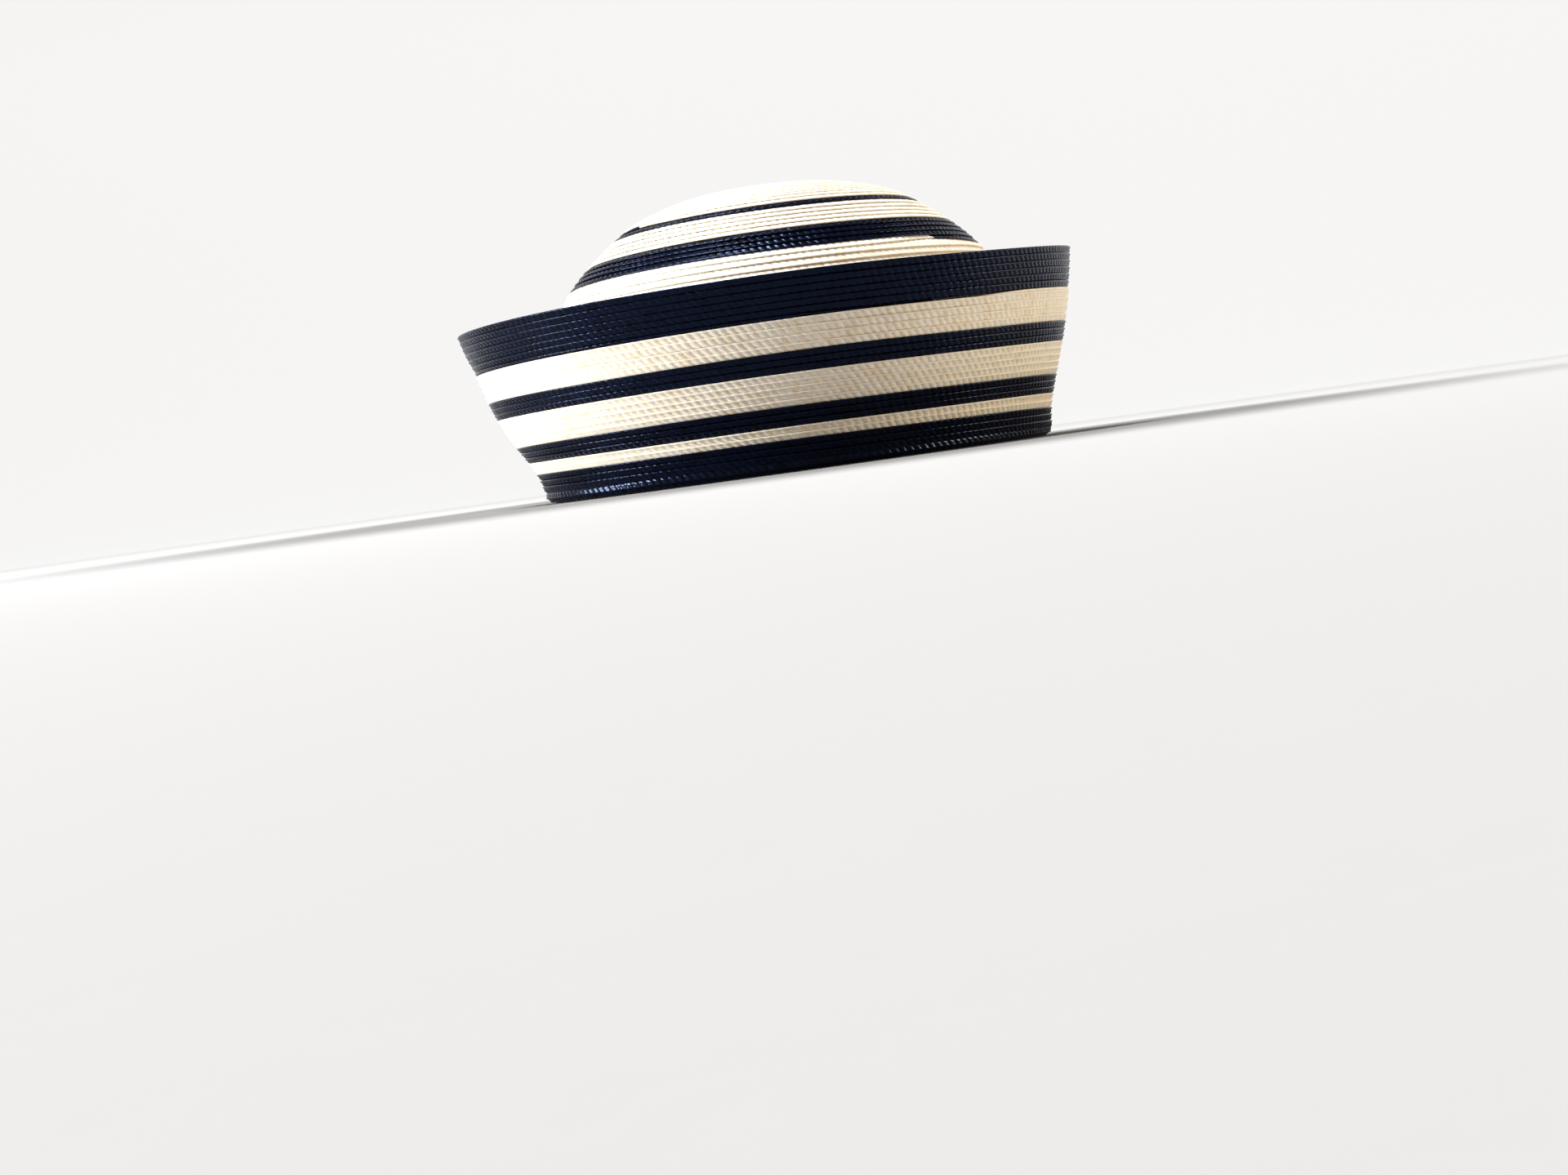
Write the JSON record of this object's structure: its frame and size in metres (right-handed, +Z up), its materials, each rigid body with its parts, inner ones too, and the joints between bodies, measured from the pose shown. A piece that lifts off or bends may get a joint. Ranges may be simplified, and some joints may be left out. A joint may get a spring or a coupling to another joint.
{
  "type": "straw sailor hat",
  "caption": "Straw sailor hat with a domed crown and an upturned, flaring cuff that is turned up at a rolled fold, sewn from overlapping rows of braid with stripes round it.",
  "frame": {"origin": "on the surface that the hat rests on, under the middle of its outline", "axes": "+Z up through the crown; the front of the hat faces -Y and its length runs along Y"},
  "size_m": [0.22, 0.2426, 0.1096],
  "materials": {
    "cream_straw": "glossy cream straw braid, sewn in overlapping rows",
    "navy_straw": "glossy navy straw braid, sewn in overlapping rows"
  },
  "bodies": {
    "root": {"crown_tip": "cream_straw", "crown_thin_stripe": "navy_straw", "crown_upper_band": "cream_straw", "crown_wide_stripe": "navy_straw", "crown_wall": "cream_straw", "fold_band": "navy_straw", "cuff_lower_band": "cream_straw", "cuff_lower_stripe": "navy_straw", "cuff_middle_band": "cream_straw", "cuff_middle_stripe": "navy_straw", "cuff_upper_band": "cream_straw", "cuff_edge_stripe": "navy_straw"}
  },
  "joints": []
}
